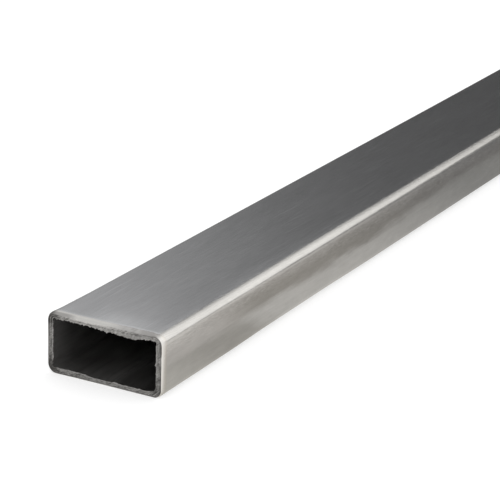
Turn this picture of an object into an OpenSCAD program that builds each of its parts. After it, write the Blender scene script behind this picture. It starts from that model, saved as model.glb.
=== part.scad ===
// Stainless steel rectangular tube, cold formed from one strip, seam welded, brushed, and sawn
// to length at both ends. It lies on its wide side with its length along X.
// The origin is at the middle of the underside. All sizes are in millimetres.

/* [Section] */
// Width over the two narrow walls
tube_width = 40; // [24:1:80]
// Height over the two wide walls
tube_height = 20; // [16:1:60]
// Thickness of the wall
wall = 2; // [1.2:0.1:3]
// Radius inside each bent corner
inner_corner_r = 1.5; // [0.5:0.1:4]

/* [Length] */
// Length over the two sawn ends
tube_length = 1000; // [100:10:6000]

/* [Sawn ends] */
// Radius left on the outer edge of each sawn end
end_edge_r = 0.8; // [0.2:0.1:1]

/* [Weld seam] */
// Width of the rolled-down weld bead inside the lower wall
bead_width = 2.4; // [1:0.1:4]
// Height of the bead above the lower wall
bead_height = 0.25; // [0.1:0.05:0.6]
// Distance of the bead from the middle of the wall, towards the front
bead_offset = 4; // [0:0.5:5]

/* [Hidden] */
$fn = 96;

outer_corner_r = inner_corner_r + wall;
// How far the bead's own section reaches down into the wall that it fuses with
bead_root = wall / 2;
// Radius of the bead's crown, from its width and height
bead_crown_r = (pow(bead_width / 2, 2) + pow(bead_height, 2)) / (2 * bead_height);
brushed_stainless = [0.64, 0.63, 0.61];

// The strip seen on its edge: across the wall on x, along the tube on y.
// Its two outer corners are the rounded edges of the sawn ends.
module strip_edge() {
    straight = tube_length - 2 * end_edge_r;
    translate([0, -tube_length / 2])
        square([wall - end_edge_r, tube_length]);
    translate([0, -straight / 2])
        square([wall, straight]);
    for (end = [-1, 1])
        translate([wall - end_edge_r, end * straight / 2])
            circle(r = end_edge_r);
}

// A flat stretch of the strip, as long round the tube as run, with its inner face at x = 0
module flat_wall(run) {
    rotate([90, 0, 0])
        linear_extrude(height = run, center = true)
            strip_edge();
}

// The strip bent through a quarter turn about the z axis
module bent_corner() {
    rotate_extrude(angle = 90)
        translate([inner_corner_r, 0])
            strip_edge();
}

// Four flats and four bends, with the tube's axis on z and its height on x
module formed_section() {
    bend_x = tube_height / 2 - outer_corner_r;
    bend_y = tube_width / 2 - outer_corner_r;
    for (quarter = [0:3]) {
        bend = quarter % 2 == 0 ? [bend_x, bend_y] : [bend_y, bend_x];
        rotate([0, 0, 90 * quarter]) {
            translate([bend.x, bend.y, 0])
                bent_corner();
            translate([bend.x + inner_corner_r, 0, 0])
                flat_wall(2 * bend.y);
        }
    }
}

// The weld bead inside the wall at +x, with a crown that is part of a cylinder
module weld_bead() {
    wall_face = tube_height / 2 - wall;
    translate([wall_face, -bead_offset, 0])
        linear_extrude(height = tube_length, center = true)
            intersection() {
                translate([bead_crown_r - bead_height, 0])
                    circle(r = bead_crown_r);
                translate([-2 * bead_height, -bead_width])
                    square([2 * bead_height + bead_root, 2 * bead_width]);
            }
}

module rectangular_tube() {
    color(brushed_stainless)
        translate([0, 0, tube_height / 2])
            rotate([0, 90, 0])
                union() {
                    formed_section();
                    weld_bead();
                }
}

rectangular_tube();
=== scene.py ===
"""A brushed stainless rectangular tube with saw-cut ends, lying on a pale studio floor."""
import math

import bpy
from mathutils import Matrix, Vector


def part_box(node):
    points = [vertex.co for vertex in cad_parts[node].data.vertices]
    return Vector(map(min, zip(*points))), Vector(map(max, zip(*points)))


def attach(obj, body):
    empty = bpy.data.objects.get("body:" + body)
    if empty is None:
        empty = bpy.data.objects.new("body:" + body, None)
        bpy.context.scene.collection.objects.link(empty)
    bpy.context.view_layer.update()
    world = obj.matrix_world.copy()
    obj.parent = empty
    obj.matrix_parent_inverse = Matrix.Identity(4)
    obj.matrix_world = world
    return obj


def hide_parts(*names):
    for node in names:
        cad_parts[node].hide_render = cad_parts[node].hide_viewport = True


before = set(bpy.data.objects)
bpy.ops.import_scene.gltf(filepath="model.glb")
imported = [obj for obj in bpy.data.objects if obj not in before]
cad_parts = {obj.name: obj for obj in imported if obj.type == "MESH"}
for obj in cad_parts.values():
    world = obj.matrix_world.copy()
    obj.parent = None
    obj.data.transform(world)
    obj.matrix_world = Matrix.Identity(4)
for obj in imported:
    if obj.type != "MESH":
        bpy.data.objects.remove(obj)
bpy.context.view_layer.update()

MM = 0.001

# The tube's sizes. Its outline comes from the frame, the rest are the section's own.
(LEFT, FRONT, FOOT), (RIGHT, BACK, TOP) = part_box("rectangular_tube")
LENGTH = RIGHT - LEFT
WIDTH = BACK - FRONT
HEIGHT = TOP - FOOT
WALL = 2.0 * MM
INNER_CORNER = 1.5 * MM
OUTER_CORNER = INNER_CORNER + WALL
BEAD_WIDTH = 2.4 * MM
BEAD_HEIGHT = 0.25 * MM
BEAD_OFFSET = 4.0 * MM


class Wire:
    """One output of a node, which can be used in sums as a number can."""

    def __init__(self, net, socket):
        self.net = net
        self.socket = socket

    def __add__(self, other):
        return self.net.maths("ADD", self, other)

    def __radd__(self, other):
        return self.net.maths("ADD", other, self)

    def __sub__(self, other):
        return self.net.maths("SUBTRACT", self, other)

    def __rsub__(self, other):
        return self.net.maths("SUBTRACT", other, self)

    def __mul__(self, other):
        return self.net.maths("MULTIPLY", self, other)

    def __rmul__(self, other):
        return self.net.maths("MULTIPLY", other, self)

    def __truediv__(self, other):
        return self.net.maths("DIVIDE", self, other)

    def __rtruediv__(self, other):
        return self.net.maths("DIVIDE", other, self)

    def __pow__(self, other):
        return self.net.maths("POWER", self, other)

    def __neg__(self):
        return self.net.maths("MULTIPLY", self, -1.0)

    def __abs__(self):
        return self.net.maths("ABSOLUTE", self)

    def __gt__(self, other):
        return self.net.maths("GREATER_THAN", self, other)

    def __lt__(self, other):
        return self.net.maths("LESS_THAN", self, other)

    def output(self, name):
        """Another output of the same node."""
        return Wire(self.net, self.net.find(self.socket.node.outputs, name))


class Net:
    """Adds nodes to one tree, of a material or of Geometry Nodes."""

    def __init__(self, tree):
        self.tree = tree

    def find(self, sockets, name):
        """The socket of this name or number that is in use on its node."""
        if isinstance(name, int):
            return [socket for socket in sockets if socket.enabled][name]
        return next(socket for socket in sockets if socket.enabled and socket.name == name)

    def fill(self, socket, value):
        """Links a wire to a socket, or sets the socket's own value."""
        if isinstance(value, Wire):
            self.tree.links.new(value.socket, socket)
        else:
            socket.default_value = value

    def add(self, kind, settings=None, sockets=None, output=0):
        """Adds a node: its settings first, then its sockets. Gives one of its outputs."""
        node = self.tree.nodes.new(kind)
        for name, value in (settings or {}).items():
            setattr(node, name, value)
        for name, value in (sockets or {}).items():
            self.fill(self.find(node.inputs, name), value)
        return Wire(self, self.find(node.outputs, output)) if len(node.outputs) else node

    def maths(self, operation, *values):
        """One Math node."""
        sockets = dict(enumerate(values))
        return self.add("ShaderNodeMath", {"operation": operation}, sockets)

    def vector_maths(self, operation, *values):
        """One Vector Math node."""
        sockets = dict(enumerate(values))
        return self.add("ShaderNodeVectorMath", {"operation": operation}, sockets)

    def clamped(self, value):
        """A value kept between 0 and 1."""
        return self.add("ShaderNodeClamp", {}, {"Value": value})

    def between(self, value, low, high, smooth=True):
        """0 below low, 1 above high, and a smooth rise from one to the other."""
        kind = "SMOOTHSTEP" if smooth else "LINEAR"
        sockets = {"Value": value, "From Min": low, "From Max": high}
        return self.add("ShaderNodeMapRange", {"interpolation_type": kind}, sockets)

    def blend(self, share, first, second):
        """A number that goes from first to second as share goes from 0 to 1."""
        sockets = {"Factor": share, "A": first, "B": second}
        return self.add("ShaderNodeMix", {"data_type": "FLOAT"}, sockets)

    def blend_colour(self, share, first, second):
        """A colour that goes from first to second as share goes from 0 to 1."""
        sockets = {"Factor": share, "A": first, "B": second}
        return self.add("ShaderNodeMix", {"data_type": "RGBA"}, sockets)

    def noise(self, place, scale=1.0, detail=2.0, roughness=0.5, seed=None):
        """Soft noise about 0.5, at a place or along a seeded line."""
        settings = {"noise_dimensions": "3D" if seed is None else "4D"}
        sockets = {"Vector": place, "Scale": scale, "Detail": detail, "Roughness": roughness}
        if seed is not None:
            sockets["W"] = seed
        return self.add("ShaderNodeTexNoise", settings, sockets)

    def vector(self, x=0.0, y=0.0, z=0.0):
        """A vector of three numbers."""
        return self.add("ShaderNodeCombineXYZ", {}, {"X": x, "Y": y, "Z": z})

    def parts(self, vector):
        """The three numbers of a vector."""
        x = self.add("ShaderNodeSeparateXYZ", {}, {"Vector": vector}, "X")
        return x, x.output("Y"), x.output("Z")


def colour(red, green, blue):
    """An opaque colour in linear light."""
    return (red, green, blue, 1.0)


def grey(level):
    """An opaque grey in linear light."""
    return colour(level, level, level)


def link(thing):
    """Puts an object in the scene."""
    bpy.context.scene.collection.objects.link(thing)
    return thing


# The wall's outline

# A point of the outline says where it lies in three numbers: along the tube from -1 to 1,
# through the wall from 0 inside to 1 outside, and round the outer edge of the sawn end
# from 0 to 1. Below 0, the second number is a share of the burr that hangs from the inner edge.
FLAT_STEPS = 5
EDGE_STEPS = 8
OUTER_RINGS = 34
INNER_RINGS = 16
RING_CROWDING = 1.7
BURR_ROOT = 0.35 * MM
BURR_LIP = 0.09 * MM
BURR_SHARES = ((BURR_ROOT, 0.0), (BURR_LIP, -0.7), (0.0, -1.0), (0.0, -0.5))


def ring_place(step, steps):
    """Rings along a wall, from the middle at 0 to the end at 1, closer together near the end."""
    return 1.0 - (1.0 - step / steps) ** RING_CROWDING


def half_outline():
    """The outline from the middle of the inner wall, round one end, to the middle outside."""
    end = LENGTH / 2
    root = 1.0 - BURR_ROOT / end
    inner = [(root * ring_place(step, INNER_RINGS), 0.0, 0.0) for step in range(INNER_RINGS)]
    burr = [(1.0 - back / end, share, 0.0) for back, share in BURR_SHARES]
    flat = [(1.0, step / FLAT_STEPS, 0.0) for step in range(FLAT_STEPS + 1)]
    edge = [(1.0, 1.0, step / EDGE_STEPS) for step in range(1, EDGE_STEPS + 1)]
    outer = [(ring_place(step, OUTER_RINGS), 1.0, 1.0) for step in range(OUTER_RINGS - 1, 0, -1)]
    return inner + burr + flat + edge + outer + [(0.0, 1.0, 1.0)]


def outline_object(name):
    """The whole outline as a closed chain of edges, for the tree to carry round the section."""
    half = half_outline()
    mirrored = [(-along, across, turn) for along, across, turn in half[-2:0:-1]]
    points = half + mirrored
    count = len(points)
    mesh = bpy.data.meshes.new(name)
    mesh.from_pydata(points, [(point, (point + 1) % count) for point in range(count)], [])
    return link(bpy.data.objects.new(name, mesh))


# Geometry Nodes: the tube

STEPS_AROUND = 640
CORNER_STEPS = 16

SIZES = {
    "Width": WIDTH,
    "Height": HEIGHT,
    "Wall": WALL,
    "Inner corner": INNER_CORNER,
    "Length": LENGTH,
    "Ground edge": 1.15 * MM,
    "Front edge": 0.42 * MM,
    "Front runout": 2.2 * MM,
    "Other edges": 0.40 * MM,
    "Burr": 0.50 * MM,
    "Burr swell": 0.68 * MM,
    "Bead width": BEAD_WIDTH,
    "Bead height": BEAD_HEIGHT,
    "Bead offset": BEAD_OFFSET,
    "Thinning": 0.50 * MM,
    "Tight corner": 0.80 * MM,
    "Slack corner": 0.58 * MM,
    "Neat corner": 0.45 * MM,
    "Back set in": 0.20 * MM,
    "Hollow": 0.05 * MM,
    "Wave": 0.035 * MM,
    "Saw relief": 0.05 * MM,
}
FINISHES = ("Outside", "Bore", "Sawn end")
SHARP_ANGLE = math.radians(32.0)


def kept(net, geometry, name, value):
    """Keeps a vector on every point under a name."""
    settings = {"data_type": "FLOAT_VECTOR"}
    sockets = {"Geometry": geometry, "Name": name, "Value": value}
    return net.add("GeometryNodeStoreNamedAttribute", settings, sockets)


def recalled(net, name):
    """The vector that was kept under a name."""
    return net.add("GeometryNodeInputNamedAttribute", {"data_type": "FLOAT_VECTOR"}, {"Name": name})


def section_line(net, size):
    """The inner line of the section, with the way out through the wall kept on its points."""
    inner_width = size["Width"] - 2.0 * size["Wall"]
    inner_height = size["Height"] - 2.0 * size["Wall"]
    sockets = {"Width": inner_width, "Height": inner_height}
    line = net.add("GeometryNodeCurvePrimitiveQuadrilateral", {}, sockets)
    sockets = {"Curve": line, "Count": CORNER_STEPS, "Radius": size["Inner corner"]}
    line = net.add("GeometryNodeFilletCurve", {"mode": "POLY"}, sockets)
    line = net.add("GeometryNodeResampleCurve", {}, {"Curve": line, "Count": STEPS_AROUND})
    tangent = net.add("GeometryNodeInputTangent")
    line = kept(net, line, "outward", net.vector_maths("CROSS_PRODUCT", tangent, (0.0, 0.0, 1.0)))
    return kept(net, line, "inner_line", net.add("GeometryNodeInputPosition"))


def swept(net, rail, outline):
    """A closed mesh with the outline at every point of the rail, its numbers kept on it."""
    outline = kept(net, outline, "outline", net.add("GeometryNodeInputPosition"))
    profile = net.add("GeometryNodeMeshToCurve", {}, {"Mesh": outline})
    return net.add("GeometryNodeCurveToMesh", {}, {"Curve": rail, "Profile Curve": profile})


class Spot:
    """Where a point of the swept mesh lies on the tube, in wires that the rules below share."""

    def __init__(self, net):
        self.along, self.across, self.turn = net.parts(recalled(net, "outline"))
        self.line_y, self.line_z, _ = net.parts(recalled(net, "inner_line"))
        self.out_y, self.out_z, _ = net.parts(recalled(net, "outward"))
        self.on_top = net.between(self.out_z, 0.6, 1.0)
        self.below = net.between(-self.out_z, 0.6, 1.0)
        self.end = net.maths("SIGN", self.along)

    def grain(self, net, across, along=1.0):
        """A place for noise that changes over a distance across, and over another along."""
        return net.vector(self.line_y / across, self.line_z / across, self.along / along)


def edge_radius(net, spot, size):
    """The ground edge is wide along the top of an end, less so in front, and small elsewhere."""
    fade_from = -0.40
    fade_to = -0.45
    over_front = 0.3 * net.between(-spot.out_y, 0.0, 0.7)
    on_top = net.between(spot.out_z + over_front, 0.6, 1.0)
    top = on_top * net.between(spot.line_y / size["Width"], fade_to, fade_from)
    front = net.between(-spot.out_y, 0.45, 0.95)
    uneven = 0.8 + 0.4 * net.noise(spot.grain(net, 3.0 * MM), detail=2.0)
    radius = net.blend(front, size["Other edges"], size["Front edge"])
    return net.blend(top, radius, size["Ground edge"]) * uneven


def edge_length(net, spot, edge, size):
    """How far the rounding of the outer edge runs along the tube: in front it fades out slowly."""
    return edge + size["Front runout"] * net.between(-spot.out_y, 0.15, 0.90)


def burr_reach(net, spot, size):
    """How far the torn burr hangs into the bore: most at the top, least below."""
    wall_share = 0.45 + 0.68 * spot.on_top + 0.25 * net.between(spot.out_y, 0.6, 1.0)
    slow = net.between(net.noise(spot.grain(net, 4.0 * MM, 0.4), detail=1.0), 0.32, 0.62)
    torn = net.between(net.noise(spot.grain(net, 1.1 * MM, 0.2), detail=1.0), 0.35, 0.65)
    teeth = net.between(net.noise(spot.grain(net, 0.45 * MM, 0.2), detail=2.0), 0.42, 0.70)
    ragged = 0.15 + 0.25 * slow + 0.45 * torn + 0.60 * teeth
    return size["Burr"] * wall_share * ragged + burr_swell(net, spot, size) + burr_teeth(net, spot)


def burr_swell(net, spot, size):
    """The heavier burr at the top, which rises slowly along the wall and ends short."""
    start = 5.0 * MM
    crest = -10.1 * MM
    stop = -14.1 * MM
    rise = net.between(spot.line_y, start, crest, smooth=False)
    drop = net.between(spot.line_y, stop, crest, smooth=False)
    return spot.on_top * size["Burr swell"] * rise * drop


def tooth(net, place, width, height):
    """One tooth of burr, from its distance to its own middle."""
    return height * net.clamped(1.0 - abs(place) / width)


def burr_teeth(net, spot):
    """Teeth of burr that stand out: two on the front wall, and one at the top."""
    front = net.between(-spot.out_y, 0.9, 1.0)
    upper = tooth(net, spot.line_z - 0.4 * MM, 0.45 * MM, 0.50 * MM)
    lower = tooth(net, spot.line_z + 2.2 * MM, 0.40 * MM, 0.22 * MM)
    above = tooth(net, spot.line_y + 0.9 * MM, 0.50 * MM, 0.34 * MM)
    return front * (upper + lower) + spot.on_top * above


def thinning(net, spot, size):
    """How far the saw thinned the lower wall and the bent corners from inside, right at the mouth."""
    mouth = abs(spot.along) > 1.0 - 4.0 * BURR_ROOT / LENGTH
    lower_wall = net.between(-spot.out_z, 0.2, 0.9)
    lower_wall = lower_wall * (1.0 - 0.95 * net.between(spot.line_y, 4.0 * MM, 8.0 * MM))
    lower_wall = lower_wall * (1.0 - 0.8 * net.between(-spot.line_y, 14.5 * MM, 17.0 * MM))
    corner = net.between(-spot.out_z * spot.out_y, 0.10, 0.48)
    corner = corner * (1.1 - 0.5 * net.between(spot.out_z, 0.0, 0.5))
    upper_back = net.between(net.clamped(spot.out_z) * net.clamped(spot.out_y), 0.10, 0.48)
    corner = corner + 0.6 * upper_back
    return mouth * size["Thinning"] * net.maths("MAXIMUM", lower_wall, corner)


def weld_bead(net, spot, size):
    """The rise of the rolled-down weld bead on the inside of the lower wall."""
    inside = 1.0 - net.between(spot.across, 0.0, 0.05, smooth=False)
    aside = (spot.line_y + size["Bead offset"]) / (size["Bead width"] / 2.0)
    return spot.below * inside * size["Bead height"] * net.clamped(1.0 - aside * aside)


def corner_shift(net, spot, size):
    """How far the bent corners leave their even radius, forward and down: no two are alike."""
    front = net.clamped(-spot.out_y)
    back = net.clamped(spot.out_y)
    below = net.clamped(-spot.out_z)
    above = net.clamped(spot.out_z)
    inwards = (1.0 - abs(spot.along)) * size["Length"] / 2.0
    begun = net.between(inwards, 42.0 * MM, 62.0 * MM)
    over = net.between(inwards, 108.0 * MM, 135.0 * MM)
    eased = 1.0 - 0.6 * begun * (1.0 - over)
    tight = net.between(front * below, 0.0, 0.1, smooth=False) * size["Tight corner"] * eased
    nearby = 1.0 - net.between(inwards, 250.0 * MM, 430.0 * MM)
    spread = nearby * net.between(inwards, -2.0 * MM, 20.0 * MM, smooth=False)
    spread = spread - 0.55 * (1.0 - net.between(inwards, 0.3 * MM, 3.0 * MM))
    slack = net.between(back * above, 0.0, 0.45, smooth=False) * size["Slack corner"] * spread
    neat = net.between(back * below, 0.0, 0.2, smooth=False) * size["Neat corner"]
    set_in = size["Back set in"] * back * nearby
    forward = tight * (1.0 - front) + (slack - neat) * (1.0 - back) + set_in
    down = (tight + neat) * (1.0 - below) + slack * (1.0 - above)
    return forward, down


def outer_dip(net, spot, size):
    """The formed walls are a little hollow between their corners, and never quite even."""
    half_width = size["Width"] / 2.0 - OUTER_CORNER
    half_height = size["Height"] / 2.0 - OUTER_CORNER
    wide = net.clamped(1.0 - (spot.line_y / half_width) ** 2.0) * abs(spot.out_z)
    narrow = 0.5 * net.clamped(1.0 - (spot.line_z / half_height) ** 2.0) * abs(spot.out_y)
    wave = net.noise(spot.grain(net, 9.0 * MM, 0.15), detail=1.0)
    return spot.turn * (size["Hollow"] * (wide + narrow) + size["Wave"] * wave)


def placed(net, mesh, size):
    """Puts every point of the swept mesh in its real place."""
    spot = Spot(net)
    edge = edge_radius(net, spot, size)
    runout = edge_length(net, spot, edge, size)
    angle = spot.turn * (math.pi / 2)
    through = net.maths("MAXIMUM", spot.across, 0.0)
    hanging = net.maths("MINIMUM", spot.across, 0.0)
    depth = through * (size["Wall"] - edge) + edge * net.maths("SINE", angle)
    depth = depth + thinning(net, spot, size) * (1.0 - through)
    depth = depth - outer_dip(net, spot, size)
    depth = depth + hanging * burr_reach(net, spot, size) - weld_bead(net, spot, size)
    at_end = net.between(abs(spot.along), 0.9995, 1.0)
    rough = net.noise(spot.grain(net, 0.5 * MM, 0.1), detail=3.0) * at_end
    reach = size["Length"] / 2.0 - runout * (1.0 - net.maths("COSINE", angle))
    x = spot.along * reach - spot.end * rough * size["Saw relief"] * (1.0 - spot.turn)
    forward, down = corner_shift(net, spot, size)
    y = spot.line_y + spot.out_y * depth - through * forward
    z = spot.line_z + spot.out_z * depth - through * down + size["Height"] / 2.0
    even = through * size["Wall"]
    grain = net.vector(x, spot.line_y + spot.out_y * even, spot.line_z + spot.out_z * even)
    mesh = kept(net, mesh, "grain", grain)
    return net.add("GeometryNodeSetPosition", {}, {"Geometry": mesh, "Position": net.vector(x, y, z)})


def finished(net, mesh, size):
    """Shades the mesh smooth between its sharp edges, and gives each zone its finish."""
    sharp = net.add("GeometryNodeInputMeshEdgeAngle") > SHARP_ANGLE
    sockets = {"Geometry": mesh, "Selection": sharp, "Shade Smooth": False}
    mesh = net.add("GeometryNodeSetShadeSmooth", {"domain": "EDGE"}, sockets)
    along, across, turn = net.parts(recalled(net, "outline"))
    cut = (abs(along) > 1.0 - 0.5 * BURR_ROOT / LENGTH) * (turn < 0.97)
    bore = (across < 0.01) * (1.0 - cut)
    mesh = net.add("GeometryNodeRealizeInstances", {}, {"Geometry": mesh})
    for name, zone in (("Outside", None), ("Bore", bore), ("Sawn end", cut)):
        sockets = {"Geometry": mesh, "Material": size[name]}
        if zone is not None:
            sockets["Selection"] = zone
        mesh = net.add("GeometryNodeSetMaterial", {}, sockets)
    for name in ("inner_line", "outward"):
        mesh = net.add("GeometryNodeRemoveAttribute", {}, {"Geometry": mesh, "Name": name})
    return mesh


def tube_tree():
    """The tree that carries the wall's outline round the section."""
    tree = bpy.data.node_groups.new("formed_and_sawn_tube", "GeometryNodeTree")
    face = tree.interface
    face.new_socket("Geometry", in_out="INPUT", socket_type="NodeSocketGeometry")
    for name in SIZES:
        face.new_socket(name, in_out="INPUT", socket_type="NodeSocketFloat")
    for name in FINISHES:
        face.new_socket(name, in_out="INPUT", socket_type="NodeSocketMaterial")
    face.new_socket("Geometry", in_out="OUTPUT", socket_type="NodeSocketGeometry")
    net = Net(tree)
    given = net.add("NodeGroupInput")
    size = {name: given.output(name) for name in (*SIZES, *FINISHES)}
    mesh = swept(net, section_line(net, size), given.output("Geometry"))
    mesh = placed(net, mesh, size)
    mesh = finished(net, mesh, size)
    net.add("NodeGroupOutput", {}, {"Geometry": mesh})
    return tree


def make_tube(finishes):
    """Runs the tree once and gives the tube as a plain mesh."""
    tube = outline_object("rectangular_tube_skin")
    tree = tube_tree()
    modifier = tube.modifiers.new("tube", "NODES")
    modifier.node_group = tree
    inputs = {item.name: item.identifier for item in tree.interface.items_tree if item.in_out == "INPUT"}
    for name, value in {**SIZES, **finishes}.items():
        modifier[inputs[name]] = value
    graph = bpy.context.evaluated_depsgraph_get()
    mesh = bpy.data.meshes.new_from_object(tube.evaluated_get(graph))
    tube.modifiers.remove(modifier)
    tube.data = mesh
    return tube


# The steel's colours, in linear light

SATIN_GREY = 0.56
BORE_DARK = colour(0.04, 0.038, 0.036)
BORE_PALE = colour(0.19, 0.185, 0.18)
# painted light on the bore's back wall and painted shade on its floor, both just inside the mouth
BORE_LIT_BACK = colour(0.32, 0.31, 0.30)
BORE_SHADED_FOOT = colour(0.02, 0.019, 0.018)
SCORE_DARK = colour(0.055, 0.053, 0.05)
SCORE_PALE = colour(0.40, 0.39, 0.375)
# a painted highlight on the upper wall's sawn face
HIGHLIGHT_PALE = colour(0.72, 0.70, 0.67)
# painted shade in furrows and corners, and the darker torn steel
SHADE_AND_TEAR_DARK = colour(0.03, 0.028, 0.026)
# the ground edge's tones by where they sit: painted highlight and shade on the ground steel
GROUND_PALE = colour(0.53, 0.52, 0.50)
GROUND_MIDDLE = colour(0.42, 0.41, 0.40)
GROUND_FRONT = colour(0.33, 0.32, 0.31)
GROUND_BACK = colour(0.34, 0.33, 0.32)
# a painted sheen on the front wall's ground edge, pale where it turns outwards less
SHEEN_PALE = colour(0.80, 0.785, 0.76)
SHEEN_DARK = colour(0.55, 0.54, 0.53)


# Finishes


def new_finish(name, base, roughness, metallic=1.0):
    """A material with a plain metal shader, whose sockets the finish then fills."""
    material = bpy.data.materials.new(name)
    material.use_nodes = True
    net = Net(material.node_tree)
    shader = material.node_tree.nodes["Principled BSDF"]
    for socket, value in (("Base Color", base), ("Roughness", roughness), ("Metallic", metallic)):
        net.fill(shader.inputs[socket], value)
    return material, net, shader


def fill_finish(net, shader, steel, roughness, relief):
    """Fills a finish's colour, its roughness and its relief, which is in millimetres."""
    net.fill(shader.inputs["Base Color"], steel)
    net.fill(shader.inputs["Roughness"], roughness)
    bump = net.add("ShaderNodeBump", {}, {"Strength": 1.0, "Distance": MM, "Height": relief})
    net.fill(shader.inputs["Normal"], bump)


def layered(net, base, *layers):
    """A colour with others laid over it in turn, each of them by its share."""
    for share, shade in layers:
        base = net.blend_colour(share, base, shade)
    return base


def kept_on_mesh(net, name):
    """A vector that the tube's tree kept on its mesh."""
    return net.add("ShaderNodeAttribute", {"attribute_name": name}, output="Vector")


def marks(net, place, length, width, lean=0.0, detail=2.0, roughness=0.5, seed=None):
    """Noise in marks that are long along the tube and narrow across it, and may lean a little."""
    if lean:
        x, y, z = net.parts(place)
        place = net.vector(x, y + x * lean, z + x * lean)
    place = net.vector_maths("MULTIPLY", place, (1.0 / length, 1.0 / width, 1.0 / width))
    return net.noise(place, detail=detail, roughness=roughness, seed=seed)


def painted_mouth_sheen(net, x, y):
    """Painted sheen: the upper side is painted paler towards the mouth, but not at its back, and less in
    front.
    """
    at_mouth = 0.29 * net.between(x, LEFT + 13.0 * MM, LEFT + 2.0 * MM)
    nearby = 0.10 * net.between(x, LEFT + 32.0 * MM, LEFT + 8.0 * MM)
    beside = 1.0 - 0.6 * net.between(-y, 9.0 * MM, 16.0 * MM)
    return (at_mouth + nearby) * net.between(y, 10.0 * MM, -3.0 * MM) * beside


def painted_corner_highlight(net, x, y):
    """Painted highlight: a paler strip beside the front corner, which starts a little way in from the
    mouth.
    """
    begun = net.between(x, LEFT + 20.0 * MM, LEFT + 60.0 * MM)
    over = net.between(x, LEFT + 150.0 * MM, LEFT + 100.0 * MM)
    return 0.12 * net.between(-y, 12.5 * MM, 16.5 * MM) * begun * over


def rubbed_band(net, y, z):
    """A band of rubbed marks along the upper part of the narrow walls."""
    return net.between(abs(y), 16.5 * MM, 18.5 * MM) * net.between(z, 1.0 * MM, 5.5 * MM)


def brushed_outside():
    """Satin steel: fine brushed grooves along the tube, with softer streaks and clouds in them."""
    material, net, shader = new_finish("brushed_outside", grey(0.5), 0.27)
    place = kept_on_mesh(net, "grain")
    x, y, z = net.parts(place)
    narrow_wall = net.between(abs(y), WIDTH / 2 - 0.5 * OUTER_CORNER, WIDTH / 2)
    wide_wall = 1.0 - narrow_wall
    rubbed = rubbed_band(net, y, z)

    grooves = marks(net, place, 12.0 * MM, 0.14 * MM)
    slanted = marks(net, place, 10.0 * MM, 0.35 * MM, lean=0.03)
    streaks = marks(net, place, 24.0 * MM, 0.7 * MM, lean=-0.008)
    crossed = marks(net, place, 4.0 * MM, 0.2 * MM, lean=0.06)
    clouds = marks(net, place, 26.0 * MM, 6.5 * MM, detail=3.0, roughness=0.55)
    mottle = marks(net, place, 6.0 * MM, 2.0 * MM, detail=4.0, roughness=0.6)
    dents = marks(net, place, 34.0 * MM, 7.0 * MM, seed=3.0)
    scratches = marks(net, place, 30.0 * MM, 0.25 * MM, lean=0.012, detail=0.0)
    scratches = net.between(scratches, 0.72, 0.86)
    drags = marks(net, place, 45.0 * MM, 0.6 * MM, lean=0.02, detail=0.0, seed=7.0)
    drags = net.between(drags, 0.70, 0.80)

    tone = 1.0 + 0.10 * (streaks - 0.5) + 0.12 * wide_wall * drags
    tone = tone + (0.14 - 0.09 * narrow_wall) * (slanted - 0.5)
    tone = tone + (0.14 - 0.10 * narrow_wall) * scratches
    tone = tone + (0.06 + 0.15 * narrow_wall) * (clouds - 0.5)
    tone = tone + 0.45 * rubbed * (crossed - 0.5) + 0.20 * narrow_wall * (mottle - 0.5)
    # painted sheen towards the mouth and a painted highlight beside the front corner, laid into the
    # colour
    tone = tone + wide_wall * (painted_mouth_sheen(net, x, y) + painted_corner_highlight(net, x, y))
    darkest = 0.6
    palest = 1.4
    share = net.between(tone, darkest, palest, smooth=False)
    steel = net.blend_colour(share, grey(darkest * SATIN_GREY), grey(palest * SATIN_GREY))

    roughness = 0.20 - 0.07 * narrow_wall + 0.05 * (clouds - 0.5) + 0.08 * (slanted - 0.5)
    roughness = roughness + 0.10 * rubbed * net.between(crossed, 0.40, 0.70)
    relief = 0.004 * grooves + 0.004 * slanted + 0.006 * streaks + 0.003 * rubbed * crossed
    relief = relief + (0.015 + 0.16 * narrow_wall) * dents
    fill_finish(net, shader, steel, roughness, relief)
    return material


def dull_bore():
    """The unbrushed inside, dull and darkened, with drawn streaks."""
    material, net, shader = new_finish("dull_bore", grey(0.2), 0.5, 0.6)
    place = kept_on_mesh(net, "grain")
    x, y, z = net.parts(place)
    streaks = marks(net, place, 60.0 * MM, 1.2 * MM, detail=3.0)
    mottle = marks(net, place, 14.0 * MM, 5.0 * MM, detail=3.0)
    tone = net.clamped(0.5 + 0.5 * (streaks - 0.5) + 1.2 * (mottle - 0.5))
    steel = net.blend_colour(tone, BORE_DARK, BORE_PALE)
    # painted light on the back wall just inside the mouth, and painted shade on the front of the floor
    # near the mouth
    back_wall = net.between(x, LEFT + 12.0 * MM, LEFT) * net.between(y, 14.0 * MM, 17.0 * MM)
    shaded_front_foot = net.between(x, LEFT + 40.0 * MM, LEFT + 5.0 * MM) * net.between(-y, 2.0 * MM, 10.0 * MM)
    shaded_front_foot = shaded_front_foot * net.between(-z, 3.0 * MM, 6.0 * MM)
    steel = layered(net, steel, (0.5 * back_wall, BORE_LIT_BACK), (0.65 * shaded_front_foot, BORE_SHADED_FOOT))
    fill_finish(net, shader, steel, 0.42 + 0.2 * mottle, 0.01 * streaks)
    return material


# The sawn end

SAW_LEAN = math.radians(-40.0)


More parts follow.
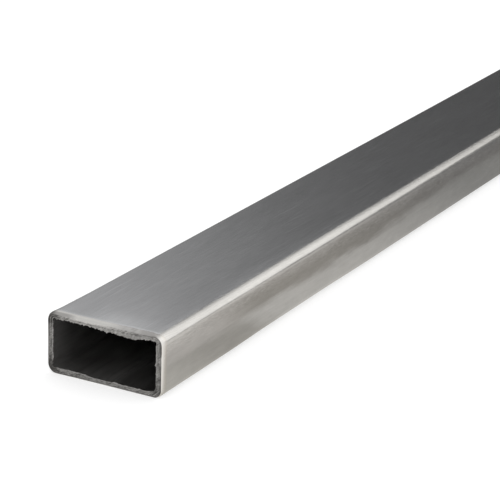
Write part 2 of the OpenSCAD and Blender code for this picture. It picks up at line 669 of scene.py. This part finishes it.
class Cut:
    """Where a point lies on the sawn face, and the marks there that more than one shade uses."""

    def __init__(self, net):
        place = net.add("ShaderNodeTexCoord", output="Object")
        _, y, z = net.parts(place)
        _, self.across, self.turn = net.parts(kept_on_mesh(net, "outline"))
        self.y = y
        self.z = z
        self.over = y * math.cos(SAW_LEAN) + z * math.sin(SAW_LEAN)
        self.down = z * math.cos(SAW_LEAN) - y * math.sin(SAW_LEAN)
        self.scores = self.scored(net, 4.0 * MM, 0.22 * MM, detail=3.0)
        self.rings = net.noise(net.vector(y / (3.0 * MM), z / (3.0 * MM), self.across * 7.0), detail=3.0)
        self.mottle = net.noise(place, scale=1.0 / (0.7 * MM), detail=3.0)
        self.top = net.between(z, HEIGHT - 3.2 * MM, HEIGHT - 1.8 * MM)
        self.near_top = net.between(z, HEIGHT - 6.0 * MM, HEIGHT - 3.0 * MM)
        self.low_front = net.between(-y, 13.0 * MM, 17.0 * MM) * net.between(z, 7.0 * MM, 2.0 * MM)
        self.front = net.between(-y, WIDTH / 2 - 2.4 * MM, WIDTH / 2 - 0.9 * MM)
        self.torn = self.torn_patches(net)

    def scored(self, net, length, width, detail):
        """Noise in marks that run along the saw's stroke."""
        return net.noise(net.vector(self.over / length, self.down / width), detail=detail)

    def torn_patches(self, net):
        """Patches on the upper wall, towards the front, where the saw tore the steel."""
        begun = net.between(-self.y, 4.0 * MM, 7.0 * MM)
        over = 1.0 - net.between(-self.y, 12.0 * MM, 14.5 * MM)
        patches = net.between(self.scored(net, 2.2 * MM, 0.55 * MM, detail=2.0), 0.56, 0.38)
        return self.top * begun * over * patches


def scored_steel(net, cut):
    """Bare steel scored by the saw, with a painted highlight on its inner lip, and painted shade on the
    narrow walls, low down and at the low back.
    """
    lip = 1.0 - net.between(cut.across, 0.05, 0.18)
    low_back = net.between(cut.y, 14.5 * MM, 17.0 * MM) * net.between(cut.z, 7.0 * MM, 3.0 * MM)
    low_wall = net.between(cut.y, 3.0 * MM, 8.0 * MM) * net.between(cut.z, 5.0 * MM, 3.0 * MM)
    back_wall = net.between(cut.y, 16.5 * MM, 18.0 * MM)
    front_wall = net.between(-cut.y, 17.2 * MM, 18.0 * MM)
    tone = 0.46 + (1.2 + 1.7 * cut.low_front) * (cut.scores - 0.5)
    # painted highlight on the inner lip; painted shade low down, at the low back and on both narrow
    # walls
    tone = tone + 1.5 * (cut.rings - 0.5) + (cut.mottle - 0.5) + 0.20 * lip
    tone = tone - 0.20 * low_back - 0.14 * low_wall - 0.10 * cut.low_front
    tone = tone - 0.16 * back_wall - 0.08 * front_wall
    return net.blend_colour(net.clamped(tone), SCORE_DARK, SCORE_PALE)


def painted_highlight_share(net, cut):
    """How far the upper wall's sawn face gets a painted highlight: most in its middle, towards the outer
    edge.
    """
    middle = net.between(cut.y, -9.0 * MM, 3.0 * MM) * (1.0 - net.between(cut.y, 9.0 * MM, 14.0 * MM))
    outwards = net.between(cut.across, 0.30, 0.95, smooth=False)
    pale = middle * (0.08 + 0.54 * outwards) + 0.12 * (1.0 - middle) * outwards
    pale = pale + 0.35 * (cut.mottle - 0.5) + 0.30 * (cut.scores - 0.5)
    return net.clamped(cut.top * pale)


def shaded_furrow_share(net, cut):
    """Painted shade in furrows: one inside the outer edge, and one along the inner edge of the upper
    wall.
    """
    pale_top = cut.top * (1.0 - net.between(-cut.y, 11.0 * MM, 14.5 * MM))
    outer = net.between(cut.across, 0.78, 0.95) * (1.0 - pale_top)
    inner = net.clamped(1.0 - abs(cut.across - 0.16) / 0.10)
    return outer + cut.top * net.between(cut.y, -1.0 * MM, 4.0 * MM) * inner


def shade_and_tear_share(net, cut):
    """Painted shade in the face's furrows and corners, and the darker steel where it is torn."""
    bands = 0.5 + 0.5 * net.maths("SINE", 11.0 * cut.across + 1.2)
    # painted shade in the upper back corner and in the front corners
    upper_back = net.between(cut.y, 14.6 * MM, 16.8 * MM) * cut.near_top * (1.0 - 0.9 * bands)
    upper_front = net.between(-cut.y, 16.5 * MM, 17.8 * MM) * net.between(cut.across, 0.35, 0.62)
    upper_front = upper_front * net.between(cut.z, 13.0 * MM, 16.0 * MM)
    upper_front = upper_front * net.between(cut.z, 18.6 * MM, 17.4 * MM)
    lower_front = net.between(-cut.y, 15.3 * MM, 17.0 * MM) * net.between(cut.across, 0.55, 0.20)
    lower_front = lower_front * cut.low_front
    dark = 0.5 * shaded_furrow_share(net, cut) + upper_back + 0.30 * cut.torn
    return net.clamped(dark + 0.30 * upper_front + 0.45 * lower_front)


def ground_share(net, cut):
    """How far the ground outer edge shows, with its painted highlight: hardly on the upper back corner,
    less where torn.
    """
    shoulder = net.between(cut.y, 16.2 * MM, 18.6 * MM) * cut.near_top
    bright = net.between(cut.turn + 0.25 * (cut.rings - 0.5), 0.02, 0.20)
    return bright * (1.0 - 0.9 * shoulder) * (1.0 - 0.3 * cut.torn)


def ground_steel(net, cut):
    """The ground edge with painted highlight and shade: palest on top, darker towards the front, dull at
    the back, and a painted sheen on the front wall.
    """
    dull = net.between(cut.y, 9.0 * MM, 13.0 * MM) * (1.0 - net.between(cut.turn, 0.5, 0.8))
    sheen = net.blend_colour(net.between(cut.turn, 0.3, 1.0, smooth=False), SHEEN_PALE, SHEEN_DARK)
    return layered(
        net,
        GROUND_PALE,
        (net.between(cut.y, -1.0 * MM, -8.0 * MM), GROUND_MIDDLE),
        (net.between(-cut.y, 11.0 * MM, 14.5 * MM), GROUND_FRONT),
        (dull, GROUND_BACK),
        (cut.front, sheen),
    )


def sawn_end():
    """The sawn face of the wall, scored by the saw, and its ground outer edge, with painted highlight
    and shade laid into their colour.
    """
    material, net, shader = new_finish("sawn_end", grey(0.3), 0.45)
    cut = Cut(net)
    bright = ground_share(net, cut)
    steel = layered(
        net,
        scored_steel(net, cut),
        # painted highlight on the upper wall, painted shade in furrows and corners with the darker torn
        # steel, and the ground edge with its painted highlight
        (painted_highlight_share(net, cut), HIGHLIGHT_PALE),
        (shade_and_tear_share(net, cut), SHADE_AND_TEAR_DARK),
        (bright, ground_steel(net, cut)),
    )
    shining = cut.front * net.between(cut.turn, 0.2, 1.0)
    roughness = net.blend(shining, 0.36 + 0.2 * cut.mottle, 0.16)
    relief = (1.0 - 0.7 * bright) * (0.05 * cut.scores + 0.05 * cut.rings + 0.03 * cut.mottle)
    fill_finish(net, shader, steel, roughness, relief)
    return material


# Camera, fitted to the straight edges in the photograph

CAMERA_PLACE = Vector((-0.97966, -0.30187, 0.24166))
CAMERA_RIGHT = Vector((0.47732, -0.87824, 0.02945))
CAMERA_DOWN = Vector((-0.27708, -0.18223, -0.94341))
LENS = 149.4
SENSOR = 36.0
NEAREST = 0.01
FARTHEST = 100.0


def make_camera():
    """The camera that sees the tube as the photograph does."""
    data = bpy.data.cameras.new("camera")
    data.lens = LENS
    data.sensor_width = SENSOR
    data.clip_start = NEAREST
    data.clip_end = FARTHEST
    camera = link(bpy.data.objects.new("camera", data))
    back = CAMERA_RIGHT.cross(-CAMERA_DOWN)
    turn = Matrix((CAMERA_RIGHT, -CAMERA_DOWN, back)).transposed()
    camera.matrix_world = Matrix.Translation(CAMERA_PLACE) @ turn.to_4x4()
    bpy.context.scene.camera = camera


# Studio

FLOOR_REACH = 20.0
FLOOR_GREY = 0.80
FLOOR_GLOW = 0.46
ROOM_GREY = 0.75


def seen_directly(net):
    """1 for rays from the camera, and for those that metal or glass sends on."""
    path = net.add("ShaderNodeLightPath", output="Is Camera Ray")
    seen = net.maths("MAXIMUM", path, path.output("Is Glossy Ray"))
    return net.maths("MAXIMUM", seen, path.output("Is Transmission Ray"))


def pale_floor():
    """A pale matt floor that reaches white in the light, and keeps the shadow on it."""
    material = bpy.data.materials.new("pale_floor")
    material.use_nodes = True
    net = Net(material.node_tree)
    shader = material.node_tree.nodes["Principled BSDF"]
    shader.inputs["Base Color"].default_value = grey(FLOOR_GREY)
    shader.inputs["Roughness"].default_value = 1.0
    shader.inputs["Specular IOR Level"].default_value = 0.0
    shader.inputs["Emission Color"].default_value = grey(1.0)
    net.fill(shader.inputs["Emission Strength"], seen_directly(net) * FLOOR_GLOW)
    return material


def make_floor():
    """The floor that the tube lies on."""
    reach = FLOOR_REACH
    corners = [(-reach, -reach, 0.0), (reach, -reach, 0.0), (reach, reach, 0.0), (-reach, reach, 0.0)]
    mesh = bpy.data.meshes.new("floor")
    mesh.from_pydata(corners, [], [(0, 1, 2, 3)])
    mesh.materials.append(pale_floor())
    link(bpy.data.objects.new("floor", mesh))


def make_world():
    """A white room to look at, which lights matt surfaces as a grey one."""
    world = bpy.data.worlds.new("studio")
    world.use_nodes = True
    net = Net(world.node_tree)
    background = world.node_tree.nodes["Background"]
    background.inputs["Color"].default_value = grey(1.0)
    net.fill(background.inputs["Strength"], net.blend(seen_directly(net), ROOM_GREY, 1.0))
    bpy.context.scene.world = world


def facing(place, target):
    """A turn that points a lamp from its place to its target."""
    return (Vector(target) - Vector(place)).to_track_quat("-Z", "Z").to_matrix().to_4x4()


def softbox(name, place, target, width, height, level):
    """A rectangular lamp of an even level, where 1 is as bright as a white wall."""
    data = bpy.data.lights.new(name, "AREA")
    data.shape = "RECTANGLE"
    data.size = width
    data.size_y = height
    data.energy = level * math.pi * width * height
    lamp = link(bpy.data.objects.new(name, data))
    lamp.matrix_world = Matrix.Translation(place) @ facing(place, target)
    lamp.visible_camera = False


def make_lamps():
    """Three broad soft lamps: beyond the tube on the right, above its near end, and before it."""
    near_part = (-0.4, 0.0, 0.0)
    mouth = (LEFT, 0.0, 0.0)
    softbox("right_far_softbox", (0.9, -1.3, 0.9), near_part, width=1.4, height=1.2, level=0.3)
    softbox("top_softbox", (-0.6, 0.0, 1.6), near_part, width=1.0, height=1.0, level=0.6)
    softbox("front_softbox", (-2.0, -0.9, 1.1), mouth, width=1.0, height=1.0, level=0.5)


# Graded cards, as a photographer of bare metal sets them

BEYOND = RIGHT + 0.12
CARDS_FROM = LEFT
CARDS_TO = RIGHT + 1.0
FAR_REACH = 1.5
RIGHT_REACH = 1.2
LEFT_REACH = 0.9
CARD_LIFT = 0.5 * MM
BLACK = colour(0.0, 0.0, 0.0)
FAR_LIGHT = colour(0.98, 0.985, 1.0)
SHEET_LIGHT = colour(2.0, 1.95, 1.86)
OPEN_FLOOR = colour(1.0, 0.98, 0.95)


def screen(name, corners, shade):
    """A softly graded card that only the metal sees, to shape what it reflects."""
    mesh = bpy.data.meshes.new(name)
    mesh.from_pydata(corners, [], [tuple(range(len(corners)))])
    material = bpy.data.materials.new(name)
    material.use_nodes = True
    material.cycles.emission_sampling = "NONE"
    net = Net(material.node_tree)
    place = net.parts(net.add("ShaderNodeTexCoord", output="Object"))
    glow = net.add("ShaderNodeEmission", {}, {"Color": shade(net, *place), "Strength": 1.0})
    net.fill(material.node_tree.nodes["Material Output"].inputs["Surface"], glow)
    mesh.materials.append(material)
    sheet = link(bpy.data.objects.new(name, mesh))
    sheet.visible_camera = False
    sheet.visible_diffuse = False
    sheet.visible_shadow = False


def standing(x, y_from, y_to, top):
    """The corners of a card that stands on the floor across the tube's line."""
    return [(x, y_from, 0.0), (x, y_to, 0.0), (x, y_to, top), (x, y_from, top)]


def alongside(x_from, x_to, y, top):
    """The corners of a card that stands on the floor beside the tube."""
    return [(x_from, y, 0.0), (x_to, y, 0.0), (x_to, y, top), (x_from, y, top)]


def lying(y_from, y_to):
    """The corners of a card that lies just above the floor beside the tube."""
    near = [(CARDS_FROM, y_from, CARD_LIFT), (CARDS_TO, y_from, CARD_LIFT)]
    far = [(CARDS_TO, y_to, CARD_LIFT), (CARDS_FROM, y_to, CARD_LIFT)]
    return near + far


def far_shade(net, x, y, z):
    """Dark beyond the tube's far end, and paler away from its line, less so at the far left."""
    radius = net.maths("SQRT", y * y + z * z)
    half_bright = 0.87
    level = 0.09 + 0.41 * (radius / half_bright) ** 5.0
    level = level * (1.0 - 0.25 * net.between(y, 0.60, 0.80))
    return net.blend_colour(net.clamped(level), BLACK, FAR_LIGHT)


def right_shade(net, x, y, z):
    """A bright sheet on the right, dim near the tube's line and brighter away from it."""
    radius = net.maths("SQRT", y * y + z * z)
    level = 0.55 + 0.72 * net.between(-y, 0.0, 0.45) + 0.10 * net.between(-y, 0.5, 0.8)
    level = level * net.maths("MINIMUM", 0.3 + 1.11 * radius, 1.0)
    foot = net.blend(net.between(-y, 0.45, 0.80), 0.15, 0.08)
    below_foot = net.blend(net.between(-y, 0.40, 0.70), 0.26, 0.66)
    level = level * net.blend(net.between(z - foot, -0.04, 0.03), below_foot, 1.0)
    return net.blend_colour(level / SHEET_LIGHT[0], BLACK, SHEET_LIGHT)


def close_shade(net, inwards, patches):
    """The floor close beside the tube: patchy near the mouth, and darker inwards."""
    patchy = inwards + 50.0 * MM * patches
    return layered(
        net,
        colour(0.62, 0.60, 0.55),
        (net.between(inwards, 10.0 * MM, 45.0 * MM), colour(0.49, 0.47, 0.43)),
        (net.between(patchy, 54.0 * MM, 84.0 * MM), colour(0.68, 0.66, 0.62)),
        (net.between(inwards, 90.0 * MM, 270.0 * MM), colour(0.35, 0.345, 0.33)),
        (net.between(inwards, 200.0 * MM, 310.0 * MM), colour(0.31, 0.305, 0.29)),
    )


def away_shade(net, inwards, beside):
    """The floor further from the tube: paler away from it, and darker inwards."""
    slanting = inwards - 0.9 * beside
    near_mouth = net.between(slanting, 55.0 * MM, 25.0 * MM) * net.between(beside, 17.8 * MM, 21.0 * MM)
    return layered(
        net,
        colour(0.63, 0.60, 0.56),
        (net.between(beside, 22.0 * MM, 45.0 * MM), colour(0.82, 0.785, 0.735)),
        (near_mouth, colour(0.90, 0.865, 0.81)),
        (net.between(slanting, 60.0 * MM, 300.0 * MM), colour(0.235, 0.23, 0.225)),
    )


def strip_start(net, inwards, uneven):
    """How far beside the tube the darker strip of floor starts, which changes along the tube."""
    start = 9.7 * MM + 1.8 * MM * net.between(inwards, 120.0 * MM, 90.0 * MM)
    start = start + 3.4 * MM * net.between(inwards, 160.0 * MM, 230.0 * MM)
    swell = net.between(inwards, 106.0 * MM, 120.0 * MM)
    swell = swell * (1.0 - net.between(inwards, 148.0 * MM, 166.0 * MM))
    return start + 1.2 * MM * swell + 7.0 * MM * uneven


def floor_shade(net, x, y, z):
    """The floor in the shade beside the tube, with a darker strip of uneven edge along it."""
    inwards = x - LEFT
    beside = -y - WIDTH / 2
    uneven = net.noise(net.vector(x / (30.0 * MM), y / (8.0 * MM)), detail=4.0, roughness=0.6) - 0.5
    uneven = uneven * net.between(inwards, 40.0 * MM, 100.0 * MM)
    patches = net.noise(net.vector(x / (12.0 * MM), y / (5.0 * MM)), detail=3.0) - 0.5
    dark = net.between(inwards, 80.0 * MM, 260.0 * MM)
    dark = net.blend_colour(dark, colour(0.425, 0.40, 0.36), colour(0.225, 0.215, 0.205))
    strip = 1.0 - net.between(beside, 15.5 * MM, 21.5 * MM)
    strip = strip * net.between(inwards + 30.0 * MM * uneven, 50.0 * MM, 90.0 * MM)
    far_side = net.blend_colour(strip, away_shade(net, inwards, beside), dark)
    crossing = net.between(beside - strip_start(net, inwards, uneven), -0.9 * MM, 0.9 * MM)
    shade = net.blend_colour(crossing, close_shade(net, inwards, patches), far_side)
    clear = net.between(inwards - 1.25 * beside, 0.0, -8.0 * MM)
    return net.blend_colour(clear, shade, OPEN_FLOOR)


def left_shade(net, x, y, z):
    """The shade on the left, which darkens the edge of the tube, most of all far away."""
    low = net.blend_colour(net.between(x - LEFT, 50.0 * MM, 400.0 * MM), grey(0.80), grey(0.26))
    return net.blend_colour(net.between(z, 0.1, 0.45), low, grey(0.45))


def make_screens():
    """The cards: two beyond the tube's far end, one upright on its left, one flat on each side."""
    screen("far_screen", standing(BEYOND, FRONT, FAR_REACH, top=1.6), far_shade)
    screen("right_screen", standing(BEYOND, -RIGHT_REACH, FRONT, top=1.2), right_shade)
    screen("floor_screen", lying(-RIGHT_REACH, 0.0), floor_shade)
    screen("left_screen", alongside(-0.7, 0.6, LEFT_REACH, top=0.45), left_shade)
    screen("left_floor_screen", lying(BACK + CARD_LIFT, LEFT_REACH), left_shade)


tube = make_tube({"Outside": brushed_outside(), "Bore": dull_bore(), "Sawn end": sawn_end()})
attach(tube, "root")
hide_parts("rectangular_tube")
make_camera()
make_floor()
make_world()
make_lamps()
make_screens()

bpy.context.scene.view_settings.view_transform = "Standard"
